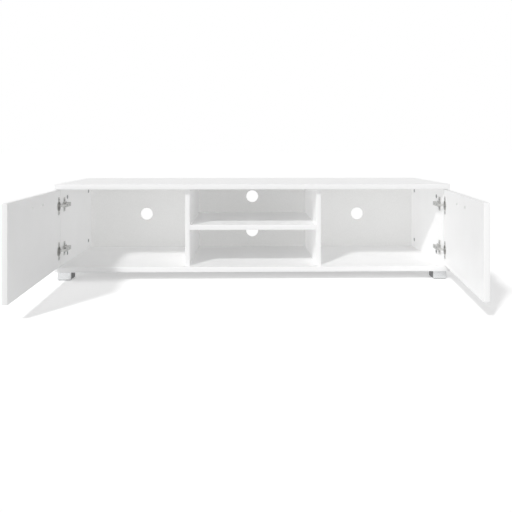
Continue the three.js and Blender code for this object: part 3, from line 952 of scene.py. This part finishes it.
@dataclass(frozen=True)
class EdgeBander:
    """Glues tape round the edges of a board, as a swept strip with its arrises broken."""

    tape_mm: float = 0.8
    arris_mm: float = 0.3
    corner_mm: float = 0.9
    core_arris_mm: float = 0.2

    arris_steps: ClassVar[int] = 3
    corner_steps: ClassVar[int] = 5
    core_arris_steps: ClassVar[int] = 2

    @property
    def tape(self) -> float:
        """The tape's thickness in metres."""
        return self.tape_mm * MM

    @classmethod
    @cache
    def tree(cls) -> NodeTree:
        """Builds the tree that sweeps a tape along a path, once, and gives it every time.

        Returns:
            The tree.
        """
        sizes = {size: "Float" for size in ("thickness", "width", "arris", "corner")}
        inputs = {"path": "Geometry", **sizes, "finish": "Material"}
        tree, given = open_tree("EdgeTapeSweep", inputs)
        line = add_node(tree, "GeometryNodeMeshToCurve", {"Mesh": given["path"]})
        corners = {"Curve": line, "Count": cls.corner_steps, "Radius": given["corner"]}
        bent = add_node(tree, "GeometryNodeFilletCurve", corners, mode="POLY")
        level = add_node(tree, "GeometryNodeSetCurveNormal", {"Curve": bent}, mode="Z_UP")
        plan = {"Width": given["thickness"], "Height": given["width"]}
        section = add_node(tree, "GeometryNodeCurvePrimitiveQuadrilateral", plan)
        arrises = {"Curve": section, "Count": cls.arris_steps, "Radius": given["arris"]}
        broken = add_node(tree, "GeometryNodeFilletCurve", arrises, mode="POLY")
        strip = {"Curve": level, "Profile Curve": broken, "Fill Caps": True}
        close_tree(tree, add_node(tree, "GeometryNodeCurveToMesh", strip), given)
        return tree

    def band(
        self,
        node: str,
        points: Sequence[tuple[float, float]],
        width: float,
        place: Matrix,
        body: Body,
        closed: bool = False,
    ) -> None:
        """Sweeps a board's edge band, moves it to its place and dresses it.

        Args:
            node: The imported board.
            points: The band's line in its own plane.
            width: The band's width.
            place: How that plane lies in the stand.
            body: The body that it rides on.
            closed: Whether the line runs on from its last point to its first.
        """
        line = bpy.data.meshes.new(f"{node}_edge_band")
        count = len(points)
        edges = [(i, (i + 1) % count) for i in range(count if closed else count - 1)]
        line.from_pydata([(u, v, 0.0) for u, v in points], edges, [])
        section = {"thickness": self.tape, "width": width, "arris": self.arris_mm * MM}
        values = {**section, "corner": self.corner_mm * MM, "finish": TAPE.material()}
        finish_piece(grown(line, self.tree(), values, place), TAPE, body)

    def core(
        self, node: str, cut_back: Iterable[tuple[int, int]], body: Body, frame: Matrix = STRAIGHT
    ) -> None:
        """Makes a board's core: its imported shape, set back where a band is glued on.

        Args:
            node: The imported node.
            cut_back: The axis and the sign of each side that a band covers.
            body: The body that it rides on.
            frame: Turns the board's own frame, in which its sides lie along the axes,
                into the stand's.
        """
        shape = node_shape(node)
        shape.transform(frame.inverted())
        for axis, sign in cut_back:
            edge = max(sign * v.co[axis] for v in shape.verts)
            for v in shape.verts:
                if sign * v.co[axis] > edge - SIDE_MM * MM:
                    v.co[axis] -= sign * self.tape
        shape.transform(frame)
        core = softened(f"{node}_core", shape, self.core_arris_mm, self.core_arris_steps)
        finish_piece(core, FOIL, body, [node])


@dataclass(frozen=True)
class Carcass:
    """The fixed boards, their edge bands, the back boards and what joins them."""

    bander: EdgeBander = EdgeBander()
    back_arris_mm: float = 0.25

    def build(self) -> None:
        """Builds every fixed board and its hardware."""
        for node in ("top_panel", "bottom_panel"):
            self.level_board(node, True)
        for node in ("side_panel_left", "side_panel_right", "divider_left", "divider_right"):
            self.upright_board(node)
        self.level_board("centre_shelf", False)
        backs = [f"back_panel_{bay}" for bay in ("left", "centre", "right")]
        soften_nodes(backs, self.back_arris_mm, HARDBOARD, Body.CARCASS)
        self.cams()
        self.shelf_pins()

    def level_board(self, node: str, wrapped: bool) -> None:
        """Bands a level board along its front edge.

        Args:
            node: The board.
            wrapped: Whether the band goes on round both ends.
        """
        box = box_of(node)
        low, high, inset = box.low, box.high, self.bander.tape / 2
        front = low.y + inset
        points, sides = [(low.x, front), (high.x, front)], [(Y, -1)]
        if wrapped:
            x0, x1 = low.x + inset, high.x - inset
            points = [(x0, high.y), (x0, front), (x1, front), (x1, high.y)]
            sides += [(X, -1), (X, 1)]
        place = Matrix.Translation((0, 0, box.middle.z))
        self.bander.core(node, sides, Body.CARCASS)
        self.bander.band(node, points, box.size.z, place, Body.CARCASS)

    def upright_board(self, node: str) -> None:
        """Bands the front edge of an upright board.

        Args:
            node: The board.
        """
        box = box_of(node)
        points = [(box.low.z, 0.0), (box.high.z, 0.0)]
        front = Matrix.Translation((box.middle.x, box.low.y + self.bander.tape / 2, 0))
        self.bander.core(node, [(Y, -1)], Body.CARCASS)
        self.bander.band(node, points, box.size.x, front @ UPRIGHT, Body.CARCASS)

    def cams(self) -> None:
        """Sets the cam locks into the inner faces of the side panels."""
        for side in Side:
            nodes = [f"cam_lock_{side.word}_{level}_{row}" for level in LEVELS for row in ROWS]
            self.fasteners(f"cam_locks_{side.word}", CamDisc(), side, nodes)

    def shelf_pins(self) -> None:
        """Puts the pins under the shelf."""
        for side in Side:
            nodes = [f"shelf_pin_{row}_{side.word}" for row in ROWS]
            size = box_of(nodes[0]).size / MM
            pin = RoundPin(diameter_mm=size.z, length_mm=size.x)
            self.fasteners(f"shelf_pins_{side.word}", pin, side, nodes)

    def fasteners(self, name: str, item: Repeated, side: Side, nodes: Sequence[str]) -> None:
        """Sets an item for each node of one end, its head on the face that looks inwards."""
        places = [Place(box_of(n).face(X, -side.value), side.inwards) for n in nodes]
        item.fit(name, places, ZINC, Body.CARCASS, nodes)


@dataclass(frozen=True)
class Feet:
    """The four block feet with their glides, screws and grey end plugs, whose grey is painted
    shade.
    """

    corner_mm: float = 3.0
    arris_mm: float = 0.8
    pad_arris_mm: float = 0.4
    # A grey plug of painted shade sits in each end of a foot.
    plug_border_mm: float = 2.0
    plug_mm: float = 1.6
    plug_proud_mm: float = 0.3
    screw_head_height_mm: float = 3.0

    def build(self) -> None:
        """Builds the blocks, the pads, the end plugs of painted shade and the screws."""
        names = [f"{row}_{side.word}" for row in ROWS for side in Side]
        feet = [f"foot_{name}" for name in names]
        self.blocks("feet", feet, self.arris_mm, ALUMINIUM)
        self.blocks("foot_glides", [f"glide_{name}" for name in names], self.pad_arris_mm, FOAM)
        # The end plugs' grey is painted shade for the dark inner ends of the feet.
        self.plugs(feet)
        self.screws([f"foot_screw_{name}" for name in names])

    def blocks(self, name: str, nodes: Sequence[str], arris_mm: float, finish: Finish) -> None:
        """Stands a rounded block in the place of each node.

        Args:
            name: The piece's name.
            nodes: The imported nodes.
            arris_mm: The radius of its upper and lower edges.
            finish: Its finish.
        """
        length, width, height = box_of(nodes[0]).size / MM
        block = RoundedBlock(
            length_mm=length, width_mm=width, height_mm=height, corner_mm=self.corner_mm
        )
        places = [Place(box_of(node).face(Z, -1), Vector((0, 0, 1))) for node in nodes]
        block.fit(name, places, finish, Body.CARCASS, nodes, arris_mm)

    def plugs(self, nodes: Sequence[str]) -> None:
        """Sets a thin grey plug into both ends of each foot. The grey is painted shade: it stands
        for the shade on the feet's inner ends, and the outer ends get the same.

        Args:
            nodes: The feet.
        """
        size, border = box_of(nodes[0]).size / MM, 2 * self.plug_border_mm
        shade_plug = RoundedBlock(
            length_mm=size.z - border,
            width_mm=size.y - border - self.corner_mm,
            height_mm=self.plug_mm,
            corner_mm=self.corner_mm / 2,
        )
        sunk = (self.plug_mm - self.plug_proud_mm) * MM
        places = []
        for node in nodes:
            for end in Side:
                face = box_of(node).face(X, end.value)
                places.append(Place(face + end.inwards * sunk, -end.inwards))
        # The plugs' grey is painted shade for the dark ends of the feet.
        shade_plug.fit("foot_end_plugs", places, SHADE_PLUG, Body.CARCASS)

    def screws(self, nodes: Sequence[str]) -> None:
        """Runs a screw up the middle of each foot, its head below.

        Args:
            nodes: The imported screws.
        """
        head = self.screw_head_height_mm
        screw = CrossScrew(
            head_mm=10.0,
            head_height_mm=head,
            shank_mm=4.5,
            length_mm=box_of(nodes[0]).size.z / MM - head,
            recess_mm=5.0,
            recess_depth_mm=2.0,
        )
        down = Vector((0, 0, -1))
        places = [Place(box_of(node).face(Z, -1) - down * head * MM, down) for node in nodes]
        screw.fit("foot_screws", places, ZINC, Body.CARCASS, nodes)


@dataclass(frozen=True)
class HingeSet:
    """The two hinges at one end: cups and pins on the door, arms and plates on the side."""

    side: Side
    opened: Matrix
    arris_mm: float = 0.35
    cup_arris_mm: float = 0.3
    flange_screw_spacing_mm: float = 48.0
    plate_screw_spacing_mm: float = 32.0
    plate_screw_from_front_mm: float = 13.0
    plate_sheet_mm: float = 2.0
    arm_screws_from_rear_mm: tuple[float, float] = (41.0, 16.0)
    flange_screw: CrossScrew = CrossScrew(seed=11, head_mm=6.8, head_height_mm=1.7, length_mm=8.0)
    plate_screw: CrossScrew = CrossScrew(seed=23, head_mm=7.4, head_height_mm=1.9, length_mm=10.0)
    arm_screw: CrossScrew = CrossScrew(
        seed=31, head_mm=6.4, head_height_mm=1.3, recess_depth_mm=0.9, length_mm=1.2
    )

    def build(self) -> None:
        """Builds the pressed pieces and every screw in them."""
        door = self.side.door_body
        kinds = {"plate": Body.CARCASS, "arm": Body.CARCASS, "cup": door, "pin": door}
        for kind, body in kinds.items():
            arris = self.cup_arris_mm if kind == "cup" else self.arris_mm
            soften_nodes([self.node(level, kind) for level in LEVELS], arris, NICKEL, body)
        self.flange_screws()
        self.plate_screws()
        self.arm_screws()

    def node(self, level: str, kind: str) -> str:
        """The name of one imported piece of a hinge."""
        return f"{self.side.word}_{level}_hinge_{kind}"

    def flange_screws(self) -> None:
        """Puts a screw at each end of each cup's flange."""
        facing = self.opened.to_3x3() @ Vector((0, 1, 0))
        places = []
        for level in LEVELS:
            face = box_of(self.node(level, "cup"), self.opened).face(Y, 1)
            for end in (-1, 1):
                up = Vector((0, 0, end * self.flange_screw_spacing_mm * MM / 2))
                places.append(Place(self.opened @ (face + up), facing))
        name = f"{self.side.word}_flange_screws"
        self.flange_screw.fit(name, places, ZINC, self.side.door_body)

    def plate_screws(self) -> None:
        """Puts a screw in each wing of each mounting plate."""
        inwards = self.side.inwards
        places = []
        for level in LEVELS:
            box = box_of(self.node(level, "plate"))
            seat = box.face(X, self.side.value) + inwards * self.plate_sheet_mm * MM
            seat.y = box.low.y + self.plate_screw_from_front_mm * MM
            for end in (-1, 1):
                up = Vector((0, 0, end * self.plate_screw_spacing_mm * MM / 2))
                places.append(Place(seat + up, inwards))
        self.plate_screw.fit(f"{self.side.word}_plate_screws", places, ZINC, Body.CARCASS)

    def arm_screws(self) -> None:
        """Puts the adjusting screw and the fixing screw on each arm's back."""
        inwards = self.side.inwards
        places = []
        for level in LEVELS:
            box = box_of(self.node(level, "arm"))
            for reach in self.arm_screws_from_rear_mm:
                seat = box.face(X, -self.side.value)
                seat.y = box.high.y - reach * MM
                places.append(Place(seat, inwards))
        self.arm_screw.fit(f"{self.side.word}_arm_screws", places, ZINC, Body.CARCASS)


@dataclass(frozen=True)
class Door:
    """One door: its banded board, its bow handle and the handle's screws."""

    side: Side
    opened: Matrix
    bander: EdgeBander = EdgeBander()
    handle_arris_mm: float = 1.3
    screw_head_height_mm: float = 2.2

    def build(self) -> None:
        """Builds the board, its band, the handle and the screws."""
        word, body = self.side.word, self.side.door_body
        node = f"{word}_door"
        sides = [(axis, sign) for axis in (X, Z) for sign in (-1, 1)]
        self.bander.core(node, sides, body, self.opened)
        box = box_of(node, self.opened)
        low, high, inset = box.low, box.high, self.bander.tape / 2
        x0, x1, z0, z1 = low.x + inset, high.x - inset, low.z + inset, high.z - inset
        points = [(x0, z0), (x1, z0), (x1, z1), (x0, z1)]
        place = self.opened @ Matrix.Translation((0, box.middle.y, 0)) @ FACING
        self.bander.band(node, points, box.size.y, place, body, closed=True)
        soften_nodes([f"{node}_handle"], self.handle_arris_mm, CHROME, body)
        self.handle_screws()

    def handle_screws(self) -> None:
        """Puts the handle's two screws through the door from inside."""
        nodes = [f"{self.side.word}_handle_screw_{end}" for end in ("hinge_end", "free_end")]
        boxes = [box_of(node, self.opened) for node in nodes]
        head = self.screw_head_height_mm
        screw = CrossScrew(
            seed=43,
            head_mm=8.4,
            head_height_mm=head,
            shank_mm=4.0,
            length_mm=boxes[0].size.y / MM - head,
            recess_mm=4.6,
            recess_width_mm=0.7,
            recess_depth_mm=1.0,
        )
        out = Vector((0, 1, 0))
        facing = self.opened.to_3x3() @ out
        places = [Place(self.opened @ (b.face(Y, 1) - out * head * MM), facing) for b in boxes]
        name = f"{self.side.word}_handle_screws"
        screw.fit(name, places, BRIGHT, self.side.door_body, nodes)


# Studio


@dataclass(frozen=True)
class Lamp:
    """A distant soft lamp. A shadowless one fills the open bays and makes no highlights."""

    name: str
    towards: tuple[float, float, float]
    strength: float
    spread_deg: float = 35.0
    shadowless: bool = False

    def build(self) -> None:
        """Hangs the lamp."""
        data = bpy.data.lights.new(self.name, "SUN")
        data.energy = self.strength
        data.angle = math.radians(self.spread_deg)
        data.use_shadow = not self.shadowless
        lamp = new_object(self.name, data)
        lamp.rotation_euler = Vector(self.towards).to_track_quat("Z", "Y").to_euler()
        lamp.visible_glossy = not self.shadowless


@dataclass(frozen=True)
class Studio:
    """A pale floor under a white surround, soft lamps and the camera."""

    key: Lamp = Lamp("key_lamp", (-0.43, -0.63, 0.645), strength=1.6, spread_deg=6.0)
    left_fill: Lamp = Lamp("left_fill", (-0.76, -0.45, 0.27), strength=0.99, shadowless=True)
    right_fill: Lamp = Lamp("right_fill", (0.96, -0.19, 0.19), strength=0.5, shadowless=True)
    ambient: float = 0.36
    floor_reach_m: float = 60.0
    floor_colour: str = "#E4E4E4"
    floor_glow: float = 0.25
    floor_share_colour: str = "#F9F9F9"
    camera_m: tuple[float, float, float] = (-0.0152, -1.8431, 0.4675)
    camera_pitch_deg: float = 90.0
    camera_yaw_deg: float = 1.0
    lens_mm: float = 37.217
    sensor_mm: float = 36.0
    camera_shift: float = -0.2106

    def build(self) -> None:
        """Builds the surround, the floor, the lamps and the camera."""
        self.surround()
        self.floor()
        for lamp in (self.key, self.left_fill, self.right_fill):
            lamp.build()
        self.camera()
        bpy.context.scene.view_settings.view_transform = "Standard"

    def seen(self, tree: NodeTree) -> Node:
        """Adds a value of 1 for rays that show the surround, and 0 for rays that light.

        Args:
            tree: The tree.

        Returns:
            The node that carries it.
        """
        path = add_node(tree, "ShaderNodeLightPath").outputs
        total = path["Is Camera Ray"]
        for name in ("Is Glossy Ray", "Is Transmission Ray"):
            either = {0: total, 1: path[name]}
            total = add_node(tree, "ShaderNodeMath", either, operation="MAXIMUM")
        return total

    def surround(self) -> None:
        """Makes a world that lights the stand evenly and looks white."""
        world = bpy.data.worlds.new("white_surround")
        bpy.context.scene.world = world
        tree = empty_tree(world)
        span = {"Value": self.seen(tree), "To Min": self.ambient, "To Max": 1.0}
        strength = add_node(tree, "ShaderNodeMapRange", span)
        white = {"Color": linear("#FFFFFF"), "Strength": strength}
        sky = add_node(tree, "ShaderNodeBackground", white)
        add_node(tree, "ShaderNodeOutputWorld", {"Surface": sky})

    def floor(self) -> None:
        """Lays the floor: it looks white where it is lit, and keeps the stand's shadow."""
        reach = self.floor_reach_m
        mesh = bpy.data.meshes.new("floor")
        corners = [(-reach, -reach, 0), (reach, -reach, 0), (reach, reach, 0), (-reach, reach, 0)]
        mesh.from_pydata(corners, [], [(0, 1, 2, 3)])
        floor = new_object("floor", mesh)
        material = bpy.data.materials.new("matt_white_floor")
        tree = empty_tree(material)
        plain = add_node(tree, "ShaderNodeBsdfDiffuse", {"Color": linear(self.floor_colour)})
        share = add_node(tree, "ShaderNodeBsdfDiffuse", {"Color": linear(self.floor_share_colour)})
        glow = add_node(tree, "ShaderNodeEmission", {"Strength": self.floor_glow})
        shown = add_node(tree, "ShaderNodeAddShader", {0: share, 1: glow})
        chosen = add_node(tree, "ShaderNodeMixShader", {0: self.seen(tree), 1: plain, 2: shown})
        add_node(tree, "ShaderNodeOutputMaterial", {"Surface": chosen})
        mesh.materials.append(material)

    def camera(self) -> None:
        """Sets the camera up, level and a little above the stand."""
        data = bpy.data.cameras.new("camera")
        data.sensor_width = self.sensor_mm
        data.lens = self.lens_mm
        data.shift_y = self.camera_shift
        camera = new_object("camera", data)
        camera.location = self.camera_m
        pitch, yaw = math.radians(self.camera_pitch_deg), math.radians(self.camera_yaw_deg)
        camera.rotation_euler = (pitch, 0, -yaw)
        bpy.context.scene.camera = camera


def opened_frame(joints: Sequence[dict[str, Any]], side: Side) -> Matrix:
    """Works out how a closed door stands as it is modelled.

    Args:
        joints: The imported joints.
        side: The door's end.

    Returns:
        The matrix that turns a point of the closed door into its place at rest.
    """
    joint = next(j for j in joints if j["child"] == side.door_body.value)
    pivot = Matrix.Translation(joint["pos_m"])
    angle = -math.radians(joint["range_deg"][0])
    return pivot @ Matrix.Rotation(angle, 4, Vector(joint["axis"])) @ pivot.inverted()


def main() -> None:
    """Builds the whole stand in order and writes how large it came out."""
    logging.basicConfig(level=logging.INFO, format="%(message)s")
    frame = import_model()
    Studio().build()
    Carcass().build()
    Feet().build()
    for side in Side:
        opened = opened_frame(frame["joints"], side)
        Door(side, opened).build()
        HingeSet(side, opened).build()


if __name__ == "__main__":
    main()
